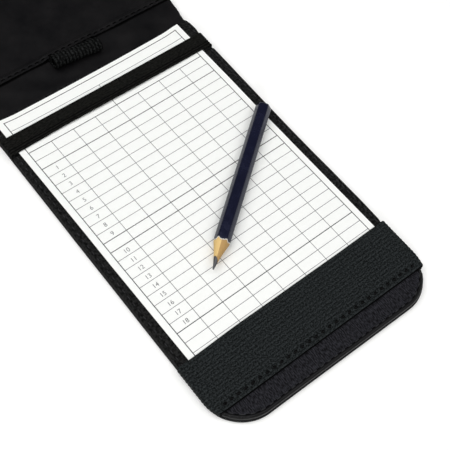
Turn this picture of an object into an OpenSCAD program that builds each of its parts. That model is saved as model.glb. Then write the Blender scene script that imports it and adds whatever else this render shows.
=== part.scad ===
// Flip-cover score card holder, opened flat.
// A stiff back panel carries the card under two elastic bands. A soft spine with a pencil loop joins it to
// the cover. X runs across the holder, Y along it towards the cover and Z up from the table.

/* [Card] */
// Width of the score card
card_w = 101; // [80:1:130]
// Length of the score card
card_l = 152; // [120:1:200]
// Thickness of the score card
card_t = 0.35; // [0.2:0.05:0.8]
// Length of card tucked into the pocket of the wide band
card_tuck = 12.9; // [6:0.1:18]
// Small turn of the card in its bands, in degrees
card_skew = 0.6; // [-1:0.1:1]
// Sideways place of the card on the panel
card_shift = -0.4; // [-1:0.1:1]

/* [Panels] */
// Panel left showing on each side of the card
side_margin = 4.5; // [4:0.5:12]
// Panel left showing below the wide band
end_margin = 9.5; // [7:0.5:20]
// Panel left showing between the card and the spine
fold_margin = 1.4; // [0.8:0.1:5]
// Radius of the corners at the free ends
corner_r = 18; // [8:1:28]
// Radius of the corners beside the spine
fold_corner_r = 2.5; // [1:0.5:5]

/* [Layers] */
// Thickness of the outer skin
skin_t = 0.8; // [0.5:0.1:1.6]
// Thickness of the stiff board
board_t = 1.6; // [1:0.1:3]
// Thickness of the lining cloth
lining_t = 0.4; // [0.2:0.05:0.8]
// Distance of the foam's edge from the panel's edge
foam_inset = 0.8; // [0.4:0.1:2]

/* [Elastic bands] */
// Thickness of the elastic
band_t = 0.9; // [0.6:0.1:1.6]
// Width of the wide band that forms the pocket
wide_band_w = 26; // [22:1:40]
// Width of the narrow band
narrow_band_w = 9; // [6:0.5:16]
// Distance of the narrow band from the spine end of the panel
narrow_band_drop = 11.2; // [6:0.1:30]
// Length of band turned under the board at each side
tail_l = 12; // [6:1:25]
// Depth of the sewn-down strip along the wide band's lower edge
pocket_floor = 4; // [3:0.5:6]

/* [Spine] */
// Distance between the two fold lines
spine_l = 18; // [15:0.5:30]
// How much narrower the spine is than the panels, each side
spine_inset = 0.6; // [0.2:0.1:3]
// Width of the turned hem that is sewn across the spine
hem_w = 2.4; // [2:0.1:4]
// Thickness of the turned hem
hem_t = 0.7; // [0.4:0.1:1.2]

/* [Pencil loop] */
// Inside radius of the relaxed loop
loop_bore_r = 2.6; // [2:0.1:4]
// Thickness of the loop's elastic
loop_t = 0.7; // [0.4:0.1:1.2]
// Width of the loop along the spine
loop_w = 24; // [12:1:40]
// Sideways place of the loop's middle
loop_shift = -1; // [-15:0.5:15]
// Reach of the loop's tail beyond the hem's edge
loop_reach = 2.2; // [0:0.1:4]

/* [Seams] */
// Spacing of the stitches
stitch_pitch = 3.6; // [2.8:0.1:6]
// Length of thread that shows in each stitch
stitch_l = 2.3; // [1.5:0.1:2.6]
// Radius of the half-round thread
thread_r = 0.25; // [0.15:0.05:0.4]
// Distance of the edge seam from the panel's edge
edge_seam_inset = 2.6; // [2:0.1:5]
// Distance of the wide band's seam from its lower edge
band_seam_up = 3; // [1.5:0.1:3.4]
// Distance of the hem's seam from its edge
hem_seam_up = 1.5; // [0.8:0.1:1.7]

/* [Pencil] */
// Length of the pencil
pencil_l = 87; // [60:1:180]
// Width of the pencil across its flats
pencil_af = 6.6; // [6:0.1:8]
// Diameter of the lead
lead_d = 2; // [1.6:0.1:3]
// Thickness of the lacquer
lacquer_t = 0.15; // [0.1:0.05:0.3]
// Length of the sharpened point, measured on a flat
point_l = 13; // [10:0.5:24]
// Width of the chamfer on the blunt end
butt_chamfer = 0.5; // [0.2:0.1:1]
// Sideways place of the pencil's tip
pencil_tip_x = -19.5; // [-40:0.1:20]
// Distance of the pencil's tip above the wide band
pencil_tip_up = 24; // [10:0.1:60]
// Turn of the pencil on the card, in degrees from X
pencil_turn = 36.5; // [0:0.5:80]

/* [Fits] */
// Clearance round the folding edges
fold_clear = 0.4; // [0.3:0.05:1]
// Clearance between layers that are pressed together
seat_gap = 0.05; // [0.02:0.01:0.1]
// Clearance between the elastic and the edge that it wraps
wrap_gap = 0.3; // [0.2:0.05:0.6]
// Clearance above and below the card
card_gap = 0.1; // [0.05:0.05:0.3]
// Clearance under the pencil
pencil_gap = 0.05; // [0.02:0.01:0.2]
// Radial clearance of the lead in its casing
lead_gap = 0.02; // [0.01:0.01:0.05]

/* [Hidden] */
$fn = 64;
// Overshoot of cutting shapes
over = 1;

// Heights of the layers, from the table up
padding_t = band_t + 2 * seat_gap;
z_board = skin_t + padding_t;
z_lining = z_board + board_t;
z_top = z_lining + lining_t;
z_card = z_top + thread_r + card_gap;
z_card_top = z_card + card_t;
z_band_under = z_card_top + card_gap;
z_band_top = z_band_under + band_t;
z_tail = skin_t + seat_gap;

// Outline of a panel, whose free end lies towards -Y
panel_w = card_w + 2 * side_margin;
panel_l = end_margin + wide_band_w + card_l - card_tuck + fold_margin;
half_w = panel_w / 2;
spine_t = skin_t + lining_t;
spine_r = spine_t / 2;
fold_half = spine_l / 2;
fold_z = z_top - spine_r;
near = fold_half + spine_r + fold_clear;
far = near + panel_l;
edge_roll = 2 * lining_t;

// Places along the panel
wide_band_y = -far + end_margin;
band_top_y = wide_band_y + wide_band_w;
narrow_band_y = -near - narrow_band_drop - narrow_band_w;
card_y = band_top_y - card_tuck + card_l / 2;
hem_back = fold_half - spine_r - fold_clear;
hem_edge = hem_back - hem_w;
loop_r = loop_bore_r + loop_t;
loop_y = hem_edge - loop_reach - loop_r;
loop_z = z_top + loop_r;
hem_lift = loop_t + seat_gap;
bend_r = wrap_gap + seat_gap;

// Pencil point
pencil_y = band_top_y + pencil_tip_up;
pencil_z = z_card_top + pencil_gap + pencil_af / 2;
hex_r = pencil_af / 2 / cos(30);
cone_l = point_l * 1.3;
cone_r = pencil_af / 2 * 1.3;

skin_black = "#1b1b1c";
lining_black = "#222226";
elastic_black = "#1f2120";
thread_black = "#101012";
foam_grey = "#4a4a4c";
board_grey = "#8f8a80";
card_white = "#f4f4f0";
wood_tan = "#d9b27c";
lead_grey = "#4b4b50";
lacquer_navy = "#16193a";

// Outline of the back panel drawn in by an inset, in the plane of the table
module panel_outline(inset = 0) {
    x = half_w - inset;
    r = corner_r - inset;
    s = fold_corner_r;
    translate([-x, -far + corner_r]) square([2 * x, panel_l - corner_r - inset - s]);
    translate([-x + r, -far + inset]) square([2 * (x - r), r + over]);
    translate([-x + s, -near - inset - s - over]) square([2 * (x - s), s + over]);
    for (side = [-1, 1]) {
        translate([side * (x - r), -far + corner_r]) circle(r);
        translate([side * (x - s), -near - inset - s]) circle(s);
    }
}

// A flat layer of the panel between two heights
module panel_layer(z0, z1, inset = 0) {
    translate([0, 0, z0]) linear_extrude(z1 - z0) panel_outline(inset);
}

// Upright section of the lining with its far top edge rolled over
module rolled_section(reach, height) {
    square([reach - edge_roll, height]);
    square([reach, height - edge_roll]);
    translate([reach - edge_roll, height - edge_roll]) circle(edge_roll);
}

// What the small corners beside the spine leave outside their rounding
module fold_corner_cuts() {
    s = fold_corner_r;
    for (side = [0, 1]) mirror([side, 0, 0]) translate([half_w - s, -near - s, 0])
        linear_extrude(z_top + over) difference() {
            square(s + over);
            circle(s);
        }
}

// The lining, drawn over the board and rolled down round its three free edges
module lining_cap() {
    height = z_top - z_board;
    inner_x = half_w - corner_r;
    difference() {
        union() {
            translate([inner_x, -near, z_board]) rotate([90, 0, -90])
                linear_extrude(2 * inner_x) rolled_section(panel_l, height);
            for (side = [0, 1]) mirror([side, 0, 0]) {
                translate([inner_x, -near, z_board]) rotate([90, 0, 0])
                    linear_extrude(panel_l - corner_r) rolled_section(corner_r, height);
                translate([inner_x, -far + corner_r, z_board]) rotate([0, 0, -90])
                    rotate_extrude(angle = 90) rolled_section(corner_r, height);
            }
        }
        panel_layer(z_board - over, z_lining, lining_t);
        fold_corner_cuts();
    }
}

// One stitch: a half-round bar of thread along Y, flat side down
module stitch() {
    rotate([90, 0, 0]) linear_extrude(stitch_l, center = true) intersection() {
        circle(thread_r, $fn = 24);
        translate([-thread_r, 0]) square([2 * thread_r, thread_r]);
    }
}

// Evenly spaced stitches along +Y
module stitch_run(run) {
    count = floor(run / stitch_pitch);
    step = run / count;
    for (i = [0 : count - 1]) translate([0, (i + 0.5) * step, 0]) stitch();
}

// Evenly spaced stitches round a quarter circle
module stitch_corner(r) {
    count = floor(r * PI / 2 / stitch_pitch);
    for (i = [0 : count - 1]) rotate(90 * (i + 0.5) / count) translate([r, 0, 0]) stitch();
}

// The seam round a panel's three free edges
module edge_seam() {
    seam_x = half_w - edge_seam_inset;
    corner_y = -far + corner_r;
    run = panel_l - corner_r - fold_corner_r;
    translate([0, 0, z_top]) {
        for (side = [0, 1]) mirror([side, 0, 0]) {
            translate([seam_x, corner_y, 0]) stitch_run(run);
            translate([half_w - corner_r, corner_y, 0]) rotate(-90) stitch_corner(corner_r - edge_seam_inset);
        }
        translate([half_w - corner_r, -far + edge_seam_inset, 0]) rotate(90) stitch_run(panel_w - 2 * corner_r);
    }
}

// Section of an elastic band that wraps the lined board, with its tails turned under
module rounded_box(x, z0, z1, r) {
    translate([-x, z0 + r]) square([2 * x, z1 - z0 - 2 * r]);
    translate([-x + r, z0]) square([2 * (x - r), z1 - z0]);
    for (side = [-1, 1], z = [z0 + r, z1 - r]) translate([side * (x - r), z]) circle(r);
}

module wrap_section() {
    inner_x = half_w + wrap_gap;
    gap_x = half_w - tail_l;
    difference() {
        rounded_box(inner_x + band_t, z_tail, z_band_top, bend_r + band_t);
        rounded_box(inner_x, z_tail + band_t, z_band_under, bend_r);
        translate([-gap_x, z_tail - over]) square([2 * gap_x, over + band_t + bend_r]);
    }
}

module elastic_wrap(y, width) {
    translate([0, y + width, 0]) rotate([90, 0, 0]) linear_extrude(width) wrap_section();
}

// Room in the foam for the tails of one band
module tail_rooms(y, width) {
    for (side = [0, 1]) mirror([side, 0, 0])
        translate([half_w - tail_l - seat_gap, y - seat_gap, skin_t - over])
            cube([tail_l + over, width + 2 * seat_gap, padding_t + 2 * over]);
}

// Section of the spine: a flat strip with round ends on the two fold lines
module spine_section() {
    translate([-fold_half, fold_z - spine_r]) square([spine_l, spine_t]);
    for (side = [-1, 1]) translate([side * fold_half, fold_z]) circle(spine_r);
}

// The part of the spine between two heights
module spine_layer(z0, z1) {
    width = panel_w - 2 * spine_inset;
    rotate([90, 0, 90]) linear_extrude(width, center = true) intersection() {
        spine_section();
        translate([-spine_l, z0]) square([2 * spine_l, z1 - z0]);
    }
}

// A bar along the pencil's axis with a hexagonal section, longer than the pencil by an overshoot at each end
module hex_bar(across_flats, extra = 0) {
    translate([-extra, 0, 0]) rotate([90, 0, 90])
        linear_extrude(pencil_l + 2 * extra) circle(across_flats / 2 / cos(30), $fn = 6);
}

// Everything that sharpening and trimming leave: cone, body and chamfered end
module trimmed_length() {
    body_l = pencil_l - cone_l - butt_chamfer;
    rotate([0, 90, 0]) {
        cylinder(h = cone_l, r1 = 0, r2 = cone_r);
        translate([0, 0, cone_l]) cylinder(h = body_l, r = cone_r);
        translate([0, 0, cone_l + body_l])
            cylinder(h = butt_chamfer, r1 = hex_r, r2 = hex_r - butt_chamfer);
    }
}

// The pencil's own frame: tip at the origin, blunt end towards +X
module on_card() {
    translate([pencil_tip_x, pencil_y, pencil_z]) rotate(pencil_turn) children();
}

module back_skin() {
    color(skin_black) panel_layer(0, skin_t);
}

module back_padding() {
    color(foam_grey) difference() {
        panel_layer(skin_t, z_board, foam_inset);
        tail_rooms(wide_band_y, wide_band_w);
        tail_rooms(narrow_band_y, narrow_band_w);
    }
}

module back_board() {
    color(board_grey) panel_layer(z_board, z_lining, lining_t);
}

module back_lining() {
    color(lining_black) lining_cap();
}

module back_edge_stitches() {
    color(thread_black) edge_seam();
}

module wide_band() {
    color(elastic_black) {
        elastic_wrap(wide_band_y, wide_band_w);
        translate([-card_w / 2, wide_band_y, z_top]) cube([card_w, pocket_floor, z_band_under - z_top]);
    }
}

module wide_band_stitches() {
    run = panel_w - 2 * edge_seam_inset;
    color(thread_black) translate([run / 2, wide_band_y + band_seam_up, z_band_top]) rotate(90) stitch_run(run);
}

module narrow_band() {
    color(elastic_black) elastic_wrap(narrow_band_y, narrow_band_w);
}

module spine_skin() {
    color(skin_black) spine_layer(z_top - spine_t, z_lining);
}

module spine_lining() {
    color(lining_black) spine_layer(z_lining, z_top);
}

module cover_hem() {
    width = panel_w - 2 * spine_inset;
    room = loop_w + 2 * fold_clear;
    color(lining_black) difference() {
        union() {
            translate([-width / 2, hem_edge, z_top]) cube([width, hem_w, hem_t]);
            translate([loop_shift - room / 2 - hem_t, hem_edge, z_top])
                cube([room + 2 * hem_t, hem_w, hem_lift + hem_t]);
        }
        translate([loop_shift - room / 2, hem_edge - over, z_top - over])
            cube([room, hem_w + 2 * over, hem_lift + over]);
    }
}

module hem_stitches() {
    run = panel_w - 2 * edge_seam_inset;
    raised = loop_w + 2 * fold_clear + 2 * hem_t;
    side_runs = [run / 2 + loop_shift - raised / 2, run / 2 - loop_shift - raised / 2];
    color(thread_black) translate([0, hem_edge + hem_seam_up, z_top + hem_t]) {
        translate([loop_shift - raised / 2, 0, 0]) rotate(90) stitch_run(side_runs[0]);
        translate([run / 2, 0, 0]) rotate(90) stitch_run(side_runs[1]);
        translate([loop_shift + raised / 2, 0, hem_lift]) rotate(90) stitch_run(raised);
    }
}

module pencil_loop() {
    color(elastic_black) translate([loop_shift - loop_w / 2, 0, 0]) difference() {
        union() {
            translate([0, loop_y, loop_z]) rotate([0, 90, 0]) cylinder(h = loop_w, r = loop_r);
            translate([0, loop_y + loop_r / 3, z_top])
                cube([loop_w, hem_back - loop_y - loop_r / 3, loop_t]);
        }
        translate([-over, loop_y, loop_z]) rotate([0, 90, 0]) cylinder(h = loop_w + 2 * over, r = loop_bore_r);
    }
}

module cover_skin() {
    color(skin_black) mirror([0, 1, 0]) panel_layer(0, skin_t);
}

module cover_padding() {
    color(foam_grey) mirror([0, 1, 0]) panel_layer(skin_t, z_board, foam_inset);
}

module cover_board() {
    color(board_grey) mirror([0, 1, 0]) panel_layer(z_board, z_lining, lining_t);
}

module cover_lining() {
    color(lining_black) mirror([0, 1, 0]) lining_cap();
}

module cover_edge_stitches() {
    color(thread_black) mirror([0, 1, 0]) edge_seam();
}

module score_card() {
    color(card_white) translate([card_shift, card_y, z_card]) rotate(card_skew)
        translate([-card_w / 2, -card_l / 2, 0]) cube([card_w, card_l, card_t]);
}

module pencil_casing() {
    color(wood_tan) on_card() difference() {
        intersection() {
            hex_bar(pencil_af - 2 * lacquer_t);
            trimmed_length();
        }
        translate([-over, 0, 0]) rotate([0, 90, 0])
            cylinder(h = pencil_l + 2 * over, r = lead_d / 2 + lead_gap);
    }
}

module pencil_lead() {
    color(lead_grey) on_card() intersection() {
        rotate([0, 90, 0]) cylinder(h = pencil_l, r = lead_d / 2);
        trimmed_length();
    }
}

module pencil_lacquer() {
    color(lacquer_navy) on_card() difference() {
        intersection() {
            hex_bar(pencil_af);
            trimmed_length();
        }
        hex_bar(pencil_af - 2 * lacquer_t, over);
    }
}

back_skin();
back_padding();
back_board();
back_lining();
back_edge_stitches();
wide_band();
wide_band_stitches();
narrow_band();
spine_skin();
spine_lining();
cover_hem();
hem_stitches();
pencil_loop();
cover_skin();
cover_padding();
cover_board();
cover_lining();
cover_edge_stitches();
score_card();
pencil_casing();
pencil_lead();
pencil_lacquer();
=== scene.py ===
import bmesh
import bpy
import numpy as np
from mathutils import Matrix, Quaternion, Vector


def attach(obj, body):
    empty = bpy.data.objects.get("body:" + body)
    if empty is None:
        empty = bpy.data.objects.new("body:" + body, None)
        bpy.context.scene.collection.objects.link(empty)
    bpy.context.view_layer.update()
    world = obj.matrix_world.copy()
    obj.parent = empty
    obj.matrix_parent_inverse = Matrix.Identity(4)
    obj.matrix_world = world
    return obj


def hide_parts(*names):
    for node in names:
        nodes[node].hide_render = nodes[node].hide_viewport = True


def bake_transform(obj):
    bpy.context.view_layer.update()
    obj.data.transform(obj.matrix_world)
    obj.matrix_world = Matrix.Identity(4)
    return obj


# Score card holder, opened flat. Lengths below are in millimetres, in the CAD model's own frame.
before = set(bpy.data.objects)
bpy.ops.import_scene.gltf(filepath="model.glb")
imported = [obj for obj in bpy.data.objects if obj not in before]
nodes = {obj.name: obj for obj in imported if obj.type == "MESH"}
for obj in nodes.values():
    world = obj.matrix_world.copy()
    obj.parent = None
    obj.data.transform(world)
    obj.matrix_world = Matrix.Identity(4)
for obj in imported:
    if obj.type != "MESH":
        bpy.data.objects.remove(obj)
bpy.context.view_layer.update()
mm = 0.001
print("frame: %d CAD nodes" % len(nodes))


def ease(t):
    # 0 before t = 0, 1 after t = 1, 3t^2 - 2t^3 between
    t = np.clip(t, 0, 1)
    return t * t * (3 - 2 * t)


def bell(t):
    # hump of height 1, e^(-t^2)
    return np.exp(-np.square(t))


def easeThrough(at, table):
    # from each (place, value) of the table to the next by 3t^2 - 2t^3, level beyond its ends
    places, values = np.array(table, float).T
    i = np.clip(np.searchsorted(places, at) - 1, 0, len(places) - 2)
    return values[i] + (values[i + 1] - values[i]) * ease((at - places[i]) / (places[i + 1] - places[i]))


def gridFaces(rows, cols, closeCols=False, closeRows=False):
    # quads between neighbours of a grid of points; a closed way joins its last line to its first
    i, j = np.arange(rows - (not closeRows))[:, None], np.arange(cols - (not closeCols))
    down, right = (i + 1) % rows, (j + 1) % cols
    return np.stack([i * cols + j, i * cols + right, down * cols + right, down * cols + j], -1).reshape(-1, 4)


def spots(*parts):
    # places from their coordinates, each one number or an array
    return np.stack(np.broadcast_arrays(*parts), -1)


def smoothPath(points, count):
    # Catmull-Rom curve through the points: cubic in t with end slopes half the chord across each point
    p = np.asarray(points, float)
    p = np.concatenate([2 * p[:1] - p[1:2], p, 2 * p[-1:] - p[-2:-1]])
    at = np.linspace(0, len(p) - 3 - 1e-9, count)
    i = at.astype(int)
    t = (at - i)[:, None]
    a, b, c, d = p[i], p[i + 1], p[i + 2], p[i + 3]
    return 0.5 * (2 * b + (c - a) * t + (2 * a - 5 * b + 4 * c - d) * t**2 + (3 * b - a - 3 * c + d) * t**3)


def addObject(name, data):
    thing = bpy.data.objects.new(name, data)
    bpy.context.scene.collection.objects.link(thing)
    return thing


def makePiece(name, points, faces, materials, cut=None, picks=None, flip=False, weld=True):
    # points in mm; cut is each point's place on the flat cloth in mm; picks is each face's material
    mesh = bpy.data.meshes.new(name)
    faces = [f.tolist() if hasattr(f, "tolist") else list(f) for f in faces]
    mesh.from_pydata((np.asarray(points, float) * mm).tolist(), [], faces)
    for m in materials:
        mesh.materials.append(m)
    if picks is not None:
        mesh.polygons.foreach_set("material_index", np.asarray(picks, np.int32))
    if cut is not None:
        flat = mesh.attributes.new("cut", "FLOAT_VECTOR", "POINT")
        flat.data.foreach_set("vector", (np.asarray(cut, float) * mm).astype(np.float32).ravel())
    mesh.polygons.foreach_set("use_smooth", np.ones(len(mesh.polygons), bool))
    bm = bmesh.new()
    bm.from_mesh(mesh)
    if weld:
        bmesh.ops.remove_doubles(bm, verts=bm.verts, dist=1e-6)
    if flip:
        bmesh.ops.reverse_faces(bm, faces=bm.faces)
    bm.to_mesh(mesh)
    bm.free()
    mesh.update()
    return addObject(name, mesh)


def dress(piece, body, slot, *stoodFor):
    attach(piece, body)
    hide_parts(*stoodFor)
    return piece


def thicken(piece, thickness):
    wall = piece.modifiers.new("clothThickness", "SOLIDIFY")
    wall.thickness, wall.offset = thickness * mm, -1
    return piece


def linear(hexText):
    # sRGB hex to linear: c / 12.92 below 0.04045, else ((c + 0.055) / 1.055)^2.4
    c = np.array([int(hexText[i : i + 2], 16) for i in (1, 3, 5)]) / 255
    return (*np.where(c <= 0.04045, c / 12.92, ((c + 0.055) / 1.055) ** 2.4), 1.0)


def between(dark, light):
    # settings of a Mix node that goes from one colour to the other
    return {"data_type": "RGBA", 6: linear(dark), 7: linear(light)}


def addNode(tree, kind, values={}, links={}):
    # one shader node: values go to its sockets or properties, links join its sockets to (node, output)
    node = tree.nodes.new("ShaderNode" + kind)
    for key, value in values.items():
        if isinstance(key, int) or key in node.inputs:
            node.inputs[key].default_value = value
        else:
            setattr(node, key, value)
    for key, (source, output) in links.items():
        tree.links.new(source.outputs[output], node.inputs[key])
    return node


def startMaterial(name):
    material = bpy.data.materials.new(name)
    material.use_nodes = True
    material.node_tree.nodes.clear()
    return material, material.node_tree


def finishMaterial(material, shader):
    addNode(material.node_tree, "OutputMaterial", {}, {"Surface": (shader, 0)})
    return material


def wavesPer(period):
    # scale of a Wave texture whose bands repeat every period mm: one band per 2 pi / 20 of its coordinate
    return 2 * np.pi / 20 / (period * mm)


def wovenCloth(name, dark, light, threads, fleck, roughness, specular, relief):
    # two sets of threads on the flat cloth, each (mm apart, depth of the gaps), times flecks of uneven yarn that are
    # (across, along) mm long: light where a thread and a pale fleck meet, dark in the gaps
    material, tree = startMaterial(name)
    onCloth = {"Vector": (addNode(tree, "Attribute", {"attribute_name": "cut"}), "Vector")}
    (stepX, weightX), (stepY, weightY) = threads
    waveX, waveY = (addNode(tree, "TexWave", {"bands_direction": axis, "Scale": wavesPer(step),
                            "Distortion": 0.2, "Detail": 1.0, "Detail Scale": 0.6}, onCloth)
                    for axis, step in (("X", stepX), ("Y", stepY)))
    across = addNode(tree, "Math", {"operation": "MULTIPLY_ADD", 1: weightX, 2: 1 - weightX - weightY},
                     {0: (waveX, "Fac")})
    ribs = addNode(tree, "Math", {"operation": "POWER", 1: 0.6}, {0: (waveY, "Fac")})
    weave = addNode(tree, "Math", {"operation": "MULTIPLY_ADD", 1: weightY}, {0: (ribs, 0), 2: (across, 0)})
    yarnSpace = addNode(tree, "Mapping", {"Scale": (1 / (fleck[0] * mm), 1 / (fleck[1] * mm), 1)}, onCloth)
    yarn = addNode(tree, "TexNoise", {"Scale": 1.0, "Detail": 1.0, "Roughness": 0.5}, {"Vector": (yarnSpace, 0)})
    cloud = addNode(tree, "TexNoise", {"Scale": 1 / (14 * mm), "Detail": 3.0}, onCloth)
    flecks = addNode(tree, "MapRange", {"From Min": 0.36, "From Max": 0.64, "To Min": 0.06}, {"Value": (yarn, "Fac")})
    pale = addNode(tree, "Math", {"operation": "MULTIPLY"}, {0: (weave, 0), 1: (flecks, 0)})
    tone = addNode(tree, "Math", {"operation": "MULTIPLY_ADD", 1: 0.12}, {0: (cloud, "Fac"), 2: (pale, 0)})
    colour = addNode(tree, "Mix", between(dark, light), {0: (tone, 0)})
    height = addNode(tree, "Math", {"operation": "MULTIPLY_ADD", 1: 0.7}, {0: (yarn, "Fac"), 2: (weave, 0)})
    bump = addNode(tree, "Bump", {"Strength": 0.8, "Distance": relief * mm}, {"Height": (height, 0)})
    shader = addNode(tree, "BsdfPrincipled", {"Roughness": roughness, "Specular IOR Level": specular, "IOR": 1.5},
                     {"Base Color": (colour, 2), "Normal": (bump, 0)})
    return finishMaterial(material, shader)


def coatedCloth(name, dark, light, grain, roughness, specular, relief, film=0.0):
    # polyurethane-coated cloth, embossed: rounded pebbles with creases between, a satin film over all
    material, tree = startMaterial(name)
    onCloth = {"Vector": (addNode(tree, "Attribute", {"attribute_name": "cut"}), "Vector")}
    pebble = addNode(tree, "TexVoronoi", {"feature": "SMOOTH_F1", "Scale": 1 / (grain * mm),
                     "Smoothness": 0.6}, onCloth)
    fine = addNode(tree, "TexNoise", {"Scale": 3 / (grain * mm), "Detail": 2.0}, onCloth)
    cloud = addNode(tree, "TexNoise", {"Scale": 1 / (16 * mm), "Detail": 4.0, "Roughness": 0.6}, onCloth)
    smudge = addNode(tree, "MapRange", {"From Min": 0.32, "From Max": 0.68}, {"Value": (cloud, "Fac")})
    height = addNode(tree, "Math", {"operation": "MULTIPLY_ADD", 1: 0.3}, {0: (fine, "Fac"), 2: (pebble, "Distance")})
    colour = addNode(tree, "Mix", between(dark, light), {0: (smudge, 0)})
    rough = addNode(tree, "MapRange", {"From Min": 0.3, "From Max": 0.7, "To Min": roughness - 0.06,
                    "To Max": roughness + 0.06}, {"Value": (cloud, "Fac")})
    bump = addNode(tree, "Bump", {"Strength": 0.5, "Distance": relief * mm, "invert": True}, {"Height": (height, 0)})
    shader = addNode(tree, "BsdfPrincipled", {"Specular IOR Level": specular, "IOR": 1.5, "Coat Weight": film,
                     "Coat Roughness": 0.16}, {"Base Color": (colour, 2), "Roughness": (rough, 0), "Normal": (bump, 0)})
    return finishMaterial(material, shader)


def speckled(name, dark, light, grain, roughness, specular=0.5, relief=0.02, stretch=(1, 1, 1)):
    # plain stock with a fine uneven tone and tooth: noise in object space, drawn out along the grain
    material, tree = startMaterial(name)
    place = addNode(tree, "TexCoord")
    turned = addNode(tree, "Mapping", {"Scale": stretch}, {"Vector": (place, "Object")})
    noise = addNode(tree, "TexNoise", {"Scale": 1 / (grain * mm), "Detail": 4.0}, {"Vector": (turned, 0)})
    colour = addNode(tree, "Mix", between(dark, light), {0: (noise, "Fac")})
    bump = addNode(tree, "Bump", {"Strength": 0.3, "Distance": relief * mm}, {"Height": (noise, "Fac")})
    shader = addNode(tree, "BsdfPrincipled", {"Roughness": roughness, "Specular IOR Level": specular, "IOR": 1.5},
                     {"Base Color": (colour, 2), "Normal": (bump, 0)})
    return finishMaterial(material, shader)


# woven nylon over the board: dull, flecked by its threads, drawn about 1 mm apart, coarser than real, so that they show
panelWeave = wovenCloth("wovenNylonLining", "#020203", "#2f2f34", ((0.8, 0.35), (1.3, 0.15)), (0.5, 1.6),
                        0.65, 0.05, 0.2)
# the same nylon beside the card: blacker, with rounder flecks
sideWeave = wovenCloth("wovenNylonSides", "#010101", "#272727", ((0.9, 0.2), (0.9, 0.2)), (1.2, 1.1), 0.65, 0.04, 0.2)
# smooth coated cloth inside the cover and spine: nearly flat, deep black, cloudy where it was handled
smoothLining = coatedCloth("smoothCoatedLining", "#08080a", "#151415", 0.8, 0.5, 0.08, 0.04)
# embossed leathercloth outside: a satin film that catches light along its turned edge
leathercloth = coatedCloth("embossedLeathercloth", "#0a0a0b", "#141415", 1.3, 0.42, 0.12, 0.24, 0.1)
# ribbed elastic: dull rubber-filled ribs, speckled by the picks that cross them; the gaps between ribs painted dark as
# painted shade
ribPitch = 1.733  # mm
elastic = wovenCloth("ribbedElastic", "#010202", "#303435", ((0.9, 0.1), (ribPitch, 0.46)), (0.75, 0.55),
                     0.75, 0.04, 0.2)
# the loop's elastic: the same weave, darker, its rib gaps painted black as painted shade
shadedLoopElastic = wovenCloth("loopElasticPaintedShade", "#000000", "#282929", ((0.9, 0.1), (ribPitch, 0.9)), (0.9, 0.8),
                         0.75, 0.0, 0.2)
# flat elastic of the narrow band: finer and darker
flatElastic = wovenCloth("flatElastic", "#010101", "#1f1f1d", ((0.7, 0.2), (ribPitch, 0.2)), (1.4, 0.7),
                         0.75, 0.04, 0.12)
# spun polyester thread, dull black; the edge seam's thread painted paler as a painted highlight, and the hem's painted
# blackest as painted shade, where it sinks in
thread = speckled("spunPolyesterThread", "#020203", "#09090a", 0.3, 0.6, 0.15, 0.04)
highlightedEdgeThread = speckled("edgeSeamThreadPaintedHighlight", "#161618", "#2a2a2d", 0.3, 0.6, 0.3, 0.04)
shadedHemThread = speckled("hemTopstitchThreadPaintedShade", "#010101", "#050505", 0.3, 0.8, 0.03, 0.04)
# painted shade: near-black put where shade falls, under the hem's edge, in needle holes between edge stitches and in
# the elastic's grooves and stitch pits
seamShade = speckled("paintedSeamShade", "#010101", "#060606", 0.3, 0.8, 0.05, 0.04)
# coated card stock, almost smooth
cardStock = speckled("coatedCardStock", "#f3f4f1", "#f9faf8", 2.5, 0.55, 0.3, 0.004)
# offset ink: thin grey rules, and heavier ones
ruleInk = speckled("thinRuleInk", "#606163", "#747577", 1.0, 0.6, 0.3, 0.002)
heavyInk = speckled("heavyRuleInk", "#37383a", "#4b4c4e", 1.0, 0.6, 0.3, 0.002)
# inside: closed-cell foam, matt and finely pitted, and grey pasteboard with short fibres
foam = speckled("closedCellFoam", "#3c3c3e", "#55555a", 0.6, 0.9, 0.2, 0.1)
pasteboard = speckled("greyPasteboard", "#857f74", "#9b958a", 1.2, 0.9, 0.2, 0.05, (1, 0.4, 1))
for name in ("back_board", "cover_board"):
    nodes[name].data.materials.clear()
    nodes[name].data.materials.append(pasteboard)
print("materials: cloth, elastic, thread and card")


holder = dict(halfW=55.0, near=10.0, far=186.0, corner=18.0, top=3.8, foldCorner=2.5)
seam = dict(inset=1.7, sideCount=43, cornerCount=6, endCount=20, length=2.3, radius=0.24, dip=0.35,
            pitch=3.614, acrossCount=29)
panelGrid = dict(cornerSteps=60, endSteps=80, rowsPerStitch=3, foldRow=0.5, bentFrom=-60)
sewnTo = -holder["near"] - holder["foldCorner"]  # the edge seam stops here, beside the fold
cornerX = holder["halfW"] - holder["corner"]
cornerY = -holder["far"] + holder["corner"]
sewnRows = np.linspace(sewnTo, cornerY, panelGrid["rowsPerStitch"] * seam["sideCount"] + 1)
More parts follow.
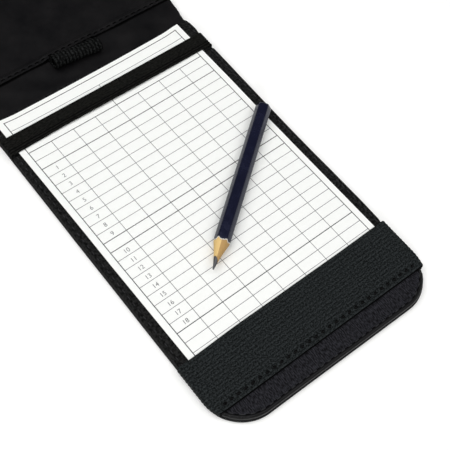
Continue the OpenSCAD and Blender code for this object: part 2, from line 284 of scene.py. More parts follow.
# how far the soft edge stands out past the panel, at places along the sides, at degrees round the corners and at
# places along the end: the bands hold it in, and the spine is drawn in at the fold and swells out beyond it
backSwell = dict(
    left=[(-135, 0), (-110, -0.1), (-85, -0.1), (-60, -0.2), (-38, -0.22), (-31.2, -0.22), (-30, -0.25), (-22, -0.25),
          (-20.8, -0.1), (-13, 0.0), (-8.5, -0.3), (-6, -0.1), (0, 1.1), (6, 1.75)],
    cornerA=[(-165, 0), (-156, 0.25), (-140, 0.15), (-90, 0.03)],
    end=[(-37, 0.03), (37, 0.42)],
    cornerB=[(-90, 0.42), (-70, 0.6), (-38, 0.75), (-30, 0.5), (-25, 0)],
    right=[(-151, 0), (-147.5, 0.6), (-138, 0.75), (-120, 0.58), (-102, 0.32), (-88, 0.27), (-72, 0.38), (-54, 0.58),
           (-42, 0.75), (-33.5, 0.85), (-31.4, 0.75), (-30.4, 0.1), (-21.2, 0.1), (-19.5, 0.8), (-17, 1.2), (-13, 1.05),
           (-11, 0.65), (-9, -0.5), (-6, -0.12), (-3, 0.65), (0, 1.1), (6, 1.75)])
spineSide = [(-30, 0), (-13, 0.2), (-10, 0.9), (-6, 1.75), (0, 1.1)]
even = [(0, 0), (1, 0)]
coverSwell = dict(left=spineSide, cornerA=even, end=even, cornerB=even, right=spineSide)


def outline(leftY, turnA, endX, turnB, rightY, swell):
    # the panel's edge down the left side, round a corner, along the end, round a corner and up the right side: a line
    # inside it, moved outwards by the corner's radius and the swell; with its outward direction
    a, b = np.radians(turnA), np.radians(turnB)
    out = np.concatenate([spots(-1.0, 0 * leftY), spots(np.cos(a), np.sin(a)), spots(0 * endX, -1.0),
                          spots(np.cos(b), np.sin(b)), spots(1.0, 0 * rightY)])
    core = np.concatenate([spots(-cornerX, leftY), spots(-cornerX, cornerY + 0 * a), spots(endX, cornerY),
                           spots(cornerX, cornerY + 0 * b), spots(cornerX, rightY)])
    stand = np.concatenate([easeThrough(at, swell[part]) for at, part in
                            zip((leftY, turnA, endX, turnB, rightY), ("left", "cornerA", "end", "cornerB", "right"))])
    return core + out * (holder["corner"] + stand)[:, None], out


def panelSheet(side, rim, swell):
    # A rim profile carried down one side, round the free end and up the other, closed in the middle by the
    # sheet P(s, t) = (1 - s) left + s right + t (end - its chord).
    y, n = side["y"], len(side["y"])
    turn = np.linspace(-180, -90, panelGrid["cornerSteps"] + 1)[1:]
    endX = np.linspace(-cornerX, cornerX, panelGrid["endSteps"] + 1)[1:]
    base, out = outline(y, turn, endX, turn + 90, y[-2::-1], swell)
    sideBeat = (y - cornerY) / (sewnTo - cornerY) * seam["sideCount"]
    cornerBeat = (turn + 180) / 90 * seam["cornerCount"]
    endBeat = (endX + cornerX) / (2 * cornerX) * seam["endCount"]
    beat = np.r_[sideBeat, cornerBeat, endBeat, cornerBeat, sideBeat[-2::-1]]
    sewn = (base[:, 1] <= sewnTo + 0.01) * (1 - 0.2 * np.cos(2 * np.pi * beat))
    # the cloth is gathered at the corners
    pleat = (np.sin(turn * 0.94) + 0.7 * np.sin(turn * 0.65 + 1)) * (1 - np.cos(np.radians(4 * turn))) / 2
    pleats = np.r_[np.zeros(n), pleat, 0 * endX, pleat, np.zeros(n - 1)]
    level, share = (np.r_[side[k], np.full(len(base) - 2 * n + 1, side[k][-1]), side[k][-2::-1]]
                    for k in ("level", "share"))
    cutBase = base.copy()
    cutBase[:n, 1], cutBase[-n:, 1] = side["cut"], side["cut"][::-1]

    inset, down = rim["inset"], rim["down"]
    steps = np.hypot(np.diff(inset), np.diff(down))
    flatInset = inset[-1] - np.append(np.cumsum(steps[::-1])[::-1], 0)
    xy = base[:, None] - out[:, None] * inset[None, :, None]
    z = level[:, None] - share[:, None] * down
    z -= rim["groove"] * sewn[:, None] * bell((inset - seam["inset"]) / rim["slit"])
    z += rim["gather"] * pleats[:, None] * bell((inset - 0.6) / 0.6)
    strip = np.concatenate([xy, z[..., None]], -1)
    stripCut = cutBase[:, None] - out[:, None] * flatInset[None, :, None]

    a = n - 1 + panelGrid["cornerSteps"] // 2  # the middle sheet's corners, halfway round the panel's
    b = len(base) - 1 - a

    def middle(ring):
        l, r, e = ring[: a + 1], ring[::-1][: a + 1], ring[a : b + 1]
        return l[:, None] * (1 - s) + r[:, None] * s + t * (e - (l[-1] * (1 - s) + r[-1] * s))

    ringX, ringY = strip[a : b + 1, -1, 0], strip[: a + 1, -1, 1]
    s = ((ringX - ringX[0]) / (ringX[-1] - ringX[0]))[None, :, None]
    bent = panelGrid["bentFrom"]  # rows are straight above this, and bend towards the end's line below it
    t = np.clip((bent - ringY) / (bent - ringY[-1]), 0, 1)[:, None, None]
    inner, innerCut = middle(strip[:, -1]), middle(stripCut[:, -1])
    points = np.concatenate([strip.reshape(-1, 3), inner.reshape(-1, 3)])
    cut = np.concatenate([stripCut.reshape(-1, 2), innerCut.reshape(-1, 2)])
    first = gridFaces(*strip.shape[:2])
    second = gridFaces(*inner.shape[:2]) + strip.shape[0] * strip.shape[1]
    # for each face: how far in from the edge, and whether it lies between two stitches, where a needle hole gets
    # painted shade
    fromEdge = np.append(np.tile((inset[1:] + inset[:-1]) / 2, len(base) - 1), np.full(len(second), holder["halfW"]))
    hole = np.cos(np.pi * (beat[1:] + beat[:-1])) > 0.2
    holes = np.append(np.repeat(hole, len(inset) - 1), np.zeros(len(second), bool))
    return points, np.concatenate([first, second]), np.column_stack([cut, np.zeros(len(cut))]), fromEdge, holes


def rolledRim(roll, wall, tuck, bead, groove, slit, gather):
    # from the tucked edge up a wall, round a quarter circle, over a low bead of height e^(-t^2), through the seam's
    # slit and in across the face
    turn = np.radians(np.arange(0, 91, 15))
    across = np.r_[np.arange(roll + 0.1, 2.35, 0.1), 2.6, 3, 3.5, 4.2, 5, 6]
    inset = np.r_[tuck, tuck * 0.3, 0, 0, roll - roll * np.cos(turn), across]
    edge = np.append([wall, wall - 0.15, wall - 0.4, (wall + roll) / 2], roll - roll * np.sin(turn))
    down = np.append(edge, 0 * across)
    return dict(inset=inset, down=down - bead * bell((inset - 0.8) / 0.45), groove=groove, slit=slit, gather=gather)


def sideRows(start):
    # rows along one side: close together over the fold, then a few to each stitch
    return np.append(np.arange(start, sewnTo, -panelGrid["foldRow"]), sewnRows)


def edgeShare(y):
    # how much of the rolled edge's height is left: all on the panel, 0.3 on the thin spine, easing across the fold
    return 1 - 0.7 * ease((y + 11.5) / 2.0)


def loopLift(x):
    # the cloth rises over the loop's two plies: 1 across the loop, easing out at each side
    past, slope = 1.9, 1.7
    return ease((x - loop["left"] + past) / slope) * ease((loop["left"] + loop["width"] + past - x) / slope)


loop = dict(left=-13.0, width=24.0, centreY=0.05, centreZ=7.1, radius=3.05, thick=0.5, ribs=14, ribHeight=0.4,
            skew=-0.119)
lining = dict(roll=0.85, wall=2.0, tuck=0.8, bead=0.2, groove=0.26, slit=0.3, gather=0.12, ripple=0.13, thick=0.3,
              turnedEdge=1.45, seamGap=0.45)
liningRim = rolledRim(*(lining[k] for k in ("roll", "wall", "tuck", "bead", "groove", "slit", "gather")))
rows = sideRows(6.5)
liningSide = dict(y=rows, level=np.full(len(rows), holder["top"]), share=edgeShare(rows), cut=rows)
points, faces, cut, fromEdge, holes = panelSheet(liningSide, liningRim, backSwell)
x, y = points[:, 0], points[:, 1]
soft = ease((y + 11) / 3) * ease((50 - np.abs(x)) / 6) * (1 - loopLift(x) * ease((y + 3) / 2))
points[:, 2] += lining["ripple"] * soft * (np.sin(0.31 * x + 0.5 * y) + np.sin(0.17 * x - 0.4 * y + 1) - 0.6)
# smooth lining on the spine, the sides' weave and the turned edge; painted shade under the hem's edge and in the needle
# holes between edge stitches; the rest is the end's weave
faceY = points[faces].mean(1)[:, 1]
picks = np.select([faceY > 5.0, faceY > -10.6, faceY > cornerY, fromEdge < lining["turnedEdge"],
                   holes & (fromEdge < lining["turnedEdge"] + lining["seamGap"])], [3, 1, 4, 2, 3], 0)
backLining = makePiece("backLining", points, faces, [panelWeave, smoothLining, leathercloth, seamShade, sideWeave],
                       cut, picks, flip=True)
thicken(backLining, lining["thick"])
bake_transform(backLining)
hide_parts("back_lining", "spine_lining")

hem = dict(edge=5.6, back=8.0, top=4.9, under=4.3, lift=0.75, pucker=0.4, groove=0.4, seamUp=1.5)
foldR = (hem["top"] - hem["under"]) / 2
turn = np.radians(np.arange(-60, 61, 30))
foldY = -hem["edge"] - foldR
tuckedY = [-7.8, -7.2, -6.6, foldY]
foldN = len(tuckedY) + len(turn)  # rows before the hem's upper side
hemY = np.r_[tuckedY, foldY + foldR * np.cos(turn), np.arange(foldY, sewnTo + 0.2, -0.4)]
hemZ = np.r_[np.full(len(tuckedY), hem["under"]), (hem["top"] + hem["under"]) / 2 + foldR * np.sin(turn),
             np.full(len(hemY) - foldN, hem["top"])]
hemZ = hemZ - (hemZ - holder["top"]) * ease((-hemY - hem["back"]) / 2.3) * (np.arange(len(hemY)) >= foldN)
hemCut = sewnTo + np.cumsum(np.append(np.hypot(np.diff(hemY), np.diff(hemZ)), hemY[-1] - sewnTo)[::-1])[::-1]
coverSide = dict(y=np.append(hemY, sewnRows), level=np.append(hemZ, np.full(len(sewnRows), holder["top"])),
                 cut=np.append(hemCut, sewnRows))
coverSide["share"] = edgeShare(coverSide["y"])
coverSide["share"][:foldN] = np.linspace(0.02, 0.3, foldN)
points, faces, cut, fromEdge, _ = panelSheet(coverSide, liningRim, coverSwell)
x, alongCloth = points[:, 0], cut[:, 1]
inHem = ease((alongCloth + 10.6) / 2.2)
points[:, 2] += hem["lift"] * loopLift(x) * inHem
topSide = (points[:, 2] > 4.3) * ease((54 - np.abs(x)) / 3)
points[:, 2] += topSide * hem["pucker"] * bell((points[:, 1] + 6.3) / 0.5) * np.cos(2 * np.pi * x / seam["pitch"])
points[:, 2] -= topSide * hem["groove"] * bell((points[:, 1] + hem["edge"] + hem["seamUp"]) / 0.45)
points[:, 1] *= -1
turned = (fromEdge < lining["turnedEdge"]) & (points[faces].mean(1)[:, 1] > -cornerY)
coverLining = makePiece("coverLining", points, faces, [smoothLining, leathercloth], cut, turned)
thicken(coverLining, lining["thick"])
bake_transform(coverLining)
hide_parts("cover_lining", "cover_hem")
print("lining: back and cover")

skin = dict(bead=0.45, seamZ=1.85, spineUnder=2.6, spineSeamZ=3.25, groove=-0.28, thick=0.35)
# from under the lining out over the bead, down round it and in across the underside
rimUp = dict(inset=np.array([0.9, 0.4, -0.05, -0.34, -skin["bead"], -0.43, -0.32, -0.08, 0.3, 0.9, 1.2, 1.4, 1.55, 1.7,
                             1.85, 2.0, 2.2, 2.5, 3.0, 3.5, 4.2, 5.0, 6.0]),
             down=-np.append([1.5, 1.52, 1.46, 1.28, 1.0, 0.74, 0.48, 0.24, 0.08, 0.01], np.zeros(13)),
             groove=skin["groove"], slit=0.5, gather=0.0)
rows = sideRows(0.0)
rise = ease((rows + 11.7) / 3.2)
skinSide = dict(y=rows, level=skin["spineUnder"] * rise, cut=rows,
                share=1 - rise * (1 - (skin["spineSeamZ"] - skin["spineUnder"]) / skin["seamZ"]))
points, faces, cut, *_ = panelSheet(skinSide, rimUp, backSwell)
backSkin = makePiece("backSkin", points, faces, [leathercloth], cut)
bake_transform(thicken(backSkin, skin["thick"]))
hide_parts("back_skin", "spine_skin")
points, faces, cut, *_ = panelSheet(skinSide, rimUp, coverSwell)
coverSkin = makePiece("coverSkin", points * [1, -1, 1], faces, [leathercloth], cut * [1, -1, 1], flip=True)
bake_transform(thicken(coverSkin, skin["thick"]))
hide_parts("cover_skin")
print("skin: back and cover")

padding = dict(low=0.85, high=1.75, inset=0.9, notchX=42.7, notches=((-176.8, -150.2), (-30.5, -20.9)), across=41)


def foamPad(name, side, notches):
    # rows across the panel, half-width w(y) from the outline less an inset, narrowed beside the bands' tails;
    # height (low + high) / 2 -+ half the thickness times (1 - u^12)^(1/2), so that the edge is round
    edges = [end + d for pair in notches for end in pair for d in (-0.2, 0.2)]
    turn = np.radians(np.linspace(88, 0, 14))
    r = holder["corner"] - padding["inset"]
    y = np.unique(np.r_[cornerY - r * np.sin(turn), np.linspace(cornerY, -10.9, 70), edges])
    w = np.where(y < cornerY, cornerX + np.sqrt(np.maximum(r * r - (cornerY - y) ** 2, 0)), cornerX + r)
    for low, high in notches:
        w = np.where((y > low) & (y < high), np.minimum(w, padding["notchX"]), w)
    u = np.linspace(-1, 1, padding["across"])
    u = np.append(u, u[-2:0:-1])
    face = np.where(np.arange(len(u)) < padding["across"], 1.0, -1.0)
    yEdge = np.minimum(np.abs(y - y[0]), np.abs(y - y[-1]))
    crown = np.sqrt(1 - u**12) * face
    half = (padding["high"] - padding["low"]) / 2 * np.sqrt(1 - (1 - np.clip(yEdge / 0.6, 0, 1)) ** 2)
    z = (padding["low"] + padding["high"]) / 2 + half[:, None] * crown
    points = spots(w[:, None] * u, -side * y[:, None], z)
    pad = makePiece(name, points.reshape(-1, 3), gridFaces(len(y), len(u), True), [foam], flip=side < 0)
    return pad


dress(foamPad("backPadding", -1, padding["notches"]), "back", "foam", "back_padding")
dress(foamPad("coverPadding", 1, ()), "cover", "foam", "cover_padding")
print("padding: two foam sheets")


def stitches(name, centre, along, up, body, stoodFor, length=seam["length"], yarn=thread, thick=seam["radius"]):
    # each stitch is a six-sided tube along its seam, its ends bent down into the cloth: height = -dip (2s / length)^4
    rings, sides = 7, 6
    centre, along, up = (np.asarray(v, float)[:, None, None] for v in (centre, along, up))
    s = np.linspace(-1, 1, rings)[:, None, None]
    turn = (np.radians(360 / sides) * np.arange(sides))[:, None]
    r = thick * (1 - 0.45 * s**6)
    rise = -seam["dip"] * s**4 + 0.85 * r * np.sin(turn)
    points = centre + along * (s * length / 2) + up * rise + np.cross(along, up) * (r * np.cos(turn))
    first = np.arange(len(centre))[:, None, None] * rings * sides
    ends = [np.arange(sides - 1, -1, -1), np.arange(sides) + (rings - 1) * sides]
    faces = [*(gridFaces(rings, sides, True)[None] + first).reshape(-1, 4)]
    faces += [end for cap in ends for end in cap + first[:, 0]]
    return dress(makePiece(name, points.reshape(-1, 3), faces, [yarn], weld=False), body, "thread", stoodFor)


def edgeSeam(name, swell, mirrored, body, stoodFor):
    # stitch centres spaced evenly down the sides, round the corners and along the end, inside and outside alike
    def evenly(start, end, count):
        return start + (np.arange(count) + 0.5) * (end - start) / count

    sideY = evenly(cornerY, sewnTo, seam["sideCount"])
    turn = evenly(-180, -90, seam["cornerCount"])
    edge, out = outline(sideY, turn, evenly(-cornerX, cornerX, seam["endCount"]), turn + 90, sideY, swell)
    x, y = ((edge - out * seam["inset"]) * [1, mirrored]).T
    along = spots(out[:, 1], -out[:, 0] * mirrored, 0.0)
    centre = np.concatenate([spots(x, y, z) for z in (holder["top"] - sunk, 0.2)])
    up = np.repeat([[0, 0, 1.0], [0, 0, -1.0]], len(x), 0)
    stitches(name, centre, np.tile(along, (2, 1)), up, body, stoodFor, yarn=highlightedEdgeThread)


sunk = 0.18  # the thread's middle lies this far under the cloth's face
edgeSeam("backEdgeSeam", backSwell, 1, "back", "back_edge_stitches")
edgeSeam("coverEdgeSeam", coverSwell, -1, "cover", "cover_edge_stitches")

# straight seams across the holder
x = (np.arange(seam["acrossCount"]) - seam["acrossCount"] // 2) * seam["pitch"]
ahead, upright = np.tile([1.0, 0, 0], (len(x), 1)), np.tile([0, 0, 1.0], (len(x), 1))
wideBand = dict(low=-176.5, width=26.0, thick=0.9, mid=5.05, sag=0.0, ribs=15, ribHeight=0.12, drop=0.6, press=0.35,
                seamUp=2.6, seamZ=4.8, pit=0.55, pitLength=1.0, reach=(55.55, 55.45), tail=44.0, hug=(1.0, 0.6),
                lines=((0.0, 1),), slant=[(-55, -1.2), (-20, -0.42), (20, -0.18), (55, 0.3)], dropped=even)
stitches("wideBandSeam", spots(x, wideBand["low"] + wideBand["seamUp"], wideBand["seamZ"]), ahead, upright,
         "back", "wide_band_stitches", 1.5)
stitches("hemSeam", spots(x, hem["edge"] + hem["seamUp"], hem["top"] - sunk + hem["lift"] * loopLift(x)),
         ahead, upright, "spine", "hem_stitches", yarn=shadedHemThread, thick=0.36)
print("seams: edges, wide band and hem")


def pathNormals(path):
    # the path's direction turned a quarter turn to the left
    slope = np.gradient(path, axis=0)
    slope /= np.linalg.norm(slope, axis=1)[:, None]
    return spots(-slope[:, 1], slope[:, 0])


innerN = 12  # places across the inner face


def crossSection(band):
    # places across the width and the height of each: ribs (cos(2 pi n w / width - pi) - 1) / 2 on the outer face
    # between round selvedges, then back along a plain inner face
    width, half = band["width"], band["thick"] / 2
    w = np.linspace(0, width, 8 * band["ribs"] + 1)
    edge = np.minimum(w, width - w)
    face = half * np.sqrt(1 - np.clip(1 - edge / 0.4, 0, 1) ** 2) + band["ribHeight"] * ease(edge / 0.6) * \
        (np.cos(2 * np.pi * (w / width * band["ribs"] - 0.5)) - 1) / 2
    inner = np.linspace(width - 0.3, 0.3, innerN)
    return np.append(w, inner), np.append(face, np.full(innerN, -half))


def ribbon(name, points, path, section, band, materials, body, stoodFor, dark=None):
    # the cross-section carried along its path, closed at both ends; its flat cloth has one wave of weave to each rib
    length = np.append(0, np.cumsum(np.linalg.norm(np.diff(path, axis=0), axis=1)))
    rowsN, colsN = points.shape[:2]
    across = section * band["ribs"] * ribPitch / band["width"]
    cut = spots(length[:, None], across[None], 0.0)
    faces = list(gridFaces(rowsN, colsN, True)) + [np.arange(colsN)[::-1], np.arange(colsN) + (rowsN - 1) * colsN]
    # dark marks the faces that take the near-black painted shade
    picks = None if dark is None else np.append(dark[:-1].ravel(), [0, 0])
    piece = makePiece(name, points.reshape(-1, 3), faces, materials, cut.reshape(-1, 3), picks, flip=True)
    return dress(piece, body, "elastic", stoodFor)


cardHalf = 50.5  # the card's half-width


def bandPath(band, step):
    # up round the left edge, across and down round the right edge: straight lines and quarter circles, and the middle
    # hangs lower by sag (1 - (x / card's half-width)^2)
    r, low, high, tail = 0.8, 1.3, band["mid"], band["tail"]

    def half(reach):
        turn = np.radians(np.arange(-90, -181, -15))
        bottom = spots(-reach + r + r * np.cos(turn), low + r + r * np.sin(turn))
        over = spots(-reach + r + r * np.cos(turn - np.pi / 2), high - r + r * np.sin(turn - np.pi / 2))
        tailX = np.linspace(-tail, -reach + r, 10)[:-1]
        topX = np.arange(-reach + r + step, 0, step)
        return np.concatenate([spots(tailX, low), bottom, over, spots(topX, high)])

    path = np.concatenate([half(band["reach"][0]), half(band["reach"][1])[::-1] * [-1, 1]])
    path[:, 1] -= band["sag"] * np.clip(1 - (path[:, 0] / cardHalf) ** 2, 0, 1) * (path[:, 1] > high - r)
    return path


def elasticBand(name, band, cloth, body, stoodFor):
    # the lower edge drops by ease(w), the outer face thins by ease(w) towards the upper edge and falls into a pit
    # e^(-(w / 0.6)^2 - (x / length)^2) at each stitch; woven lines are grooves e^(-(w / 0.3)^2)
    path = bandPath(band, 0.45)
    section, height = crossSection(band)
    outer = np.arange(len(section)) < len(section) - innerN
    lines = outer * sum(depth * bell((section - place) / 0.32) for place, depth in band["lines"])
    flat = ease((54.3 - np.abs(path[:, 0])) / 3) * (path[:, 1] > 3)
    pressed = -band["drop"] * ease((4.6 - section) / 2.6)
    pressed -= band["press"] * ease((section - band["width"] + 2.5) / 2.5) * outer
    toStitch = path[:, 0] - seam["pitch"] * np.round(path[:, 0] / seam["pitch"])
    sewn = bell((section - band["seamUp"]) / 0.6) * outer * flat[:, None]
    pits = sewn * (band["pit"] > 0) * bell(toStitch / band["pitLength"])[:, None]
    lift = height - 0.2 * lines + flat[:, None] * pressed - band["pit"] * (0.25 * sewn + 0.75 * pits)
    places = path[:, None] + pathNormals(path)[:, None] * lift[..., None]
    # its lower corners hug the panel's round corners, by the panel's own loss of width there
    past = np.clip(cornerY - band["low"] - section, 0, None)
    loss = holder["corner"] - np.sqrt(holder["corner"] ** 2 - past**2)
    x = places[..., 0]
    x = x - np.sign(x) * np.where(x < 0, *band["hug"]) * loss * ease((np.abs(x) - 44) / 11)
    up = section / band["width"]
    y = band["low"] + section + easeThrough(x, band["slant"]) * up + easeThrough(x, band["dropped"]) * (1 - up)
    # faces deep in a woven groove or a stitch pit take the near-black painted shade
    points, dark = spots(x, y, places[..., 1]), (lines > 0.55) | (pits > 0.4)
    return ribbon(name, points, path, section, band, [cloth, seamShade], body, stoodFor, dark)


narrowBand = dict(low=-30.6, width=9.0, thick=0.6, mid=5.45, sag=0.35, ribs=7, ribHeight=0.06, drop=0.0, press=0.0,
                  seamUp=0.0, pit=0.0, pitLength=1.0, reach=(54.95, 55.2), tail=44.0, hug=(0.0, 0.0),
                  lines=((1.25, 1), (2.55, 1), (4.05, 0.5)), slant=[(-55, -0.2), (55, 0.2)],
                  dropped=[(-52, -0.8), (-48, -0.72), (-43, -0.5), (-38, -0.4), (-33, -0.18), (-27, 0)])
elasticBand("wideBand", wideBand, elastic, "back", "wide_band")
elasticBand("narrowBand", narrowBand, flatElastic, "back", "narrow_band")

# the loop: under the hem, out, round the pencil's room and back under the hem, hanging a little askew
turn = np.radians(np.arange(-90, -386, -12))
ring = spots(loop["centreY"] + loop["radius"] * np.cos(turn), loop["centreZ"] + loop["radius"] * np.sin(turn))
lowZ = loop["centreZ"] - loop["radius"]
path = np.concatenate([[[7.7, lowZ], [5.6, lowZ], [3.6, lowZ], [1.8, lowZ]], ring,
                       [[3.0, 5.1], [3.6, lowZ + 0.62], [4.6, lowZ + 0.53], [6.2, lowZ + 0.53], [7.7, lowZ + 0.53]]])
path = smoothPath(path, 170)
section, height = crossSection(loop)
unsewn = ease((path[:, 1] - lowZ - 0.6) / 0.8)
lift = height[None] * (0.85 + 0.15 * unsewn)[:, None]
places = path[:, None] - pathNormals(path)[:, None] * lift[..., None]
askew = loop["skew"] * (section - loop["width"] / 2) * ease((4.6 - path[:, :1]) / 2.5)
points = spots(loop["left"] + section, places[..., 0] + askew, places[..., 1])
ribbon("pencilLoop", points, path, section, loop, [shadedLoopElastic], "spine", "pencil_loop")
print("elastic: two bands and the loop")


pencil = dict(tip=(-19.4, -127.1, 7.87), turn=36.85, length=87.3, flats=6.66, lacquer=0.15, lead=1.0, tipR=0.3,
              taper=0.15, hollow=0.0069, blunt=0.12, exposed=4.15, slant=1.5, slantTurn=45, ragged=0.13, rounding=11,
              chamfer=0.5)
card = dict(width=2 * cardHalf, length=151.45, low=4.15, top=4.5, tuck=12.9, centre=(-0.4, -87.675), turn=0.6, curl=0.9,
            cornerReach=0.65, thin=0.27, heavy=0.4, left=3.1, right=98.0, divider=(49.75, 131.0))
columns = [14.75, 26.3, 38.05, 49.75, 61.6, 73.5, 85.5]
nines = ((106.6, 5.08), (55.9, 4.99))  # the line above each block of nine rows, and the height of a row
thinRows = [131.05, 111.7] + [top - row * i for top, row in nines for i in range(1, 9)] + [5.9, 0.75]
heavyRows = [136.25, 117.0, 106.6, 61.0, 55.9, 11.0]


def onCard(u, v, z):
    # card places to the holder: u across and v up from the wide band's edge, turned about the card's middle; the upper
    # half is dished, height = curl ((2u / width - 1)^2 - 1/3), easing in along v and pressed flat under the pencil, and
    # its two free corners reach a little further than the middle, easing in over the last fifth of the half-width
    turn = np.radians(card["turn"])
    a, b = u - card["width"] / 2, v + card["tuck"] - card["length"] / 2
    b = b + card["cornerReach"] * ease((np.abs(2 * a / card["width"]) - 0.8) / 0.2) * ease((v - 126) / 11)
    x = card["centre"][0] + a * np.cos(turn) - b * np.sin(turn)
    y = card["centre"][1] + a * np.sin(turn) + b * np.cos(turn)
    lean = np.radians(pencil["turn"])
    apart = (y - pencil["tip"][1]) * np.cos(lean) - (x - pencil["tip"][0]) * np.sin(lean)
    dish = card["curl"] * ((2 * a / card["width"]) ** 2 - 1 / 3) * ease((v - 50) / 24) * (1 - bell(apart / 14))
    return spots(x, y, z + dish)


def rulePair(places, width):
    return np.ravel([[p - width / 2, p + width / 2] for p in places])


border = [card["left"], card["right"]]
u = np.r_[np.linspace(0, card["width"], 35), rulePair(columns, card["thin"]), rulePair(border, card["heavy"])]
v = np.r_[np.linspace(-card["tuck"], card["length"] - card["tuck"], 52), rulePair(thinRows, card["thin"]),
          rulePair(heavyRows, card["heavy"]), card["divider"][1]]
u, v = np.unique(np.round(u, 4)), np.unique(np.round(v, 4))
midU, midV = (u[1:] + u[:-1]) / 2, (v[1:] + v[:-1]) / 2


def near(mids, places, width):
    return (np.abs(mids[:, None] - np.array(places)) < width / 2).any(1)


joined = 0.4 * card["heavy"]  # rules run on into the border
inside = (midU > card["left"] - joined) & (midU < card["right"] + joined)
thinInk = (near(midV, thinRows, card["thin"])[:, None] & inside) | \
    ((midV < heavyRows[1])[:, None] & near(midU, columns, card["thin"]))
heavyRule = (near(midV, heavyRows, card["heavy"])[:, None] & inside) | \
    ((midV < heavyRows[0] + joined)[:, None] & near(midU, border, card["heavy"])) | \
    (((midV > heavyRows[1]) & (midV < card["divider"][1]))[:, None] & near(midU, card["divider"][:1], card["thin"]))
ink = np.where(heavyRule, 2, np.where(thinInk, 1, 0)).ravel()
gridU, gridV = np.meshgrid(u, v)
count = gridU.size  # points on each side of the card
points = np.concatenate([onCard(gridU, gridV, card[side]).reshape(-1, 3) for side in ("top", "low")])
top = gridFaces(len(v), len(u))
index = np.arange(count).reshape(gridU.shape)
rim = np.r_[index[0], index[1:, -1], index[-1, -2::-1], index[-2:0:-1, 0]]
after = np.roll(rim, -1)
wall = np.stack([rim, rim + count, after + count, after], -1)
faces = np.concatenate([top, top[:, ::-1] + count, wall])
picks = np.append(ink, np.zeros(len(top) + len(wall)))
scoreCard = makePiece("scoreCard", points, faces, [cardStock, ruleInk, heavyInk], picks=picks)
scoreCard.data.polygons.foreach_set("use_smooth", np.zeros(len(scoreCard.data.polygons), bool))
dress(scoreCard, "card", "card", "score_card")

# plain hole numbers down the first column, each a flat text made a mesh
number = dict(size=2.9, u=9.2, down=2.85, thick=0.006, above=0.012)
numbers = bmesh.new()
for i, rowV in enumerate(top - row * k for top, row in nines for k in range(9)):
    curve = bpy.data.curves.new("holeNumber", "FONT")
    curve.body, curve.size, curve.extrude = str(i + 1), number["size"], number["thick"]
    curve.align_x = curve.align_y = "CENTER"
    text = addObject("holeNumber", curve)
    bpy.context.view_layer.update()
    flatText = bpy.data.meshes.new_from_object(text.evaluated_get(bpy.context.evaluated_depsgraph_get()))
    flatText.transform(Matrix.Translation((number["u"], rowV - number["down"], 0)))
    numbers.from_mesh(flatText)
    bpy.data.objects.remove(text)
    bpy.data.curves.remove(curve)
    bpy.data.meshes.remove(flatText)
numberMesh = bpy.data.meshes.new("holeNumbers")
numbers.to_mesh(numberMesh)
numbers.free()
co = np.zeros(len(numberMesh.vertices) * 3, np.float32)
numberMesh.vertices.foreach_get("co", co)
u, v, z = co.reshape(-1, 3).T
placed = onCard(u, v, card["top"] + number["above"] + z) * mm
numberMesh.vertices.foreach_set("co", placed.astype(np.float32).ravel())
numberMesh.materials.append(ruleInk)
numberMesh.update()
holeNumbers = addObject("holeNumbers", numberMesh)
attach(holeNumbers, "card")
print("card: table and numbers")


turn = np.radians(pencil["turn"])
axes = np.array([[np.cos(turn), np.sin(turn), 0], [-np.sin(turn), np.cos(turn), 0], [0, 0, 1.0]])


def placePencil(s, r, angle):
    # along the axis from the tip, out by r at that angle round it
    local = spots(s, r * np.cos(angle), r * np.sin(angle))
    return local.reshape(-1, 3) @ axes + pencil["tip"]


def hexagon(angle, flats):
    # six flats with eased corners: flats / 2 over the p-norm of the cosines to the three pairs of flats
    sums = sum(np.abs(np.cos(angle - np.radians(k))) ** pencil["rounding"] for k in (30, 90, 150))
    return flats / 2 / sums ** (1 / pencil["rounding"])


angle = np.radians(np.arange(0, 360, 3.0))
outerR = hexagon(angle, pencil["flats"])
innerR = hexagon(angle, pencil["flats"] - 2 * pencil["lacquer"])
ragged = pencil["ragged"] * (np.sin(5 * angle + 1) + np.sin(11 * angle + 2) + 0.6 * np.sin(23 * angle))
leadTo = pencil["exposed"] + pencil["slant"] * np.cos(angle - np.radians(pencil["slantTurn"]))
butt = pencil["length"]


def coneRadius(s):
    # the sharpened cone, a little hollow: tip radius + taper s + hollow s^2
    return pencil["tipR"] + pencil["taper"] * s + pencil["hollow"] * s**2


def rings(*values):
    # one ring of equal values round the pencil for each value
    return np.repeat(np.array(values, float)[:, None], len(angle), 1)


def pencilPiece(name, s, r, materials, slot, stoodFor, closed=True, picks=None):
    faces = gridFaces(len(s), len(angle), True, closed)
    dress(makePiece(name, placePencil(s, r, angle[None]), faces, materials, picks=picks), "pencil", slot, stoodFor)


def pencilMaterial(name):
    # noise runs along the pencil: Object coordinates shifted to the tip and turned to the axis
    material, tree = startMaterial(name)
    place = addNode(tree, "TexCoord")
    shift = addNode(tree, "Mapping", {"vector_type": "TEXTURE", "Location": Vector(pencil["tip"]) * mm,
                    "Rotation": (0, 0, turn)}, {"Vector": (place, "Object")})
    return material, tree, {"Vector": (shift, 0)}


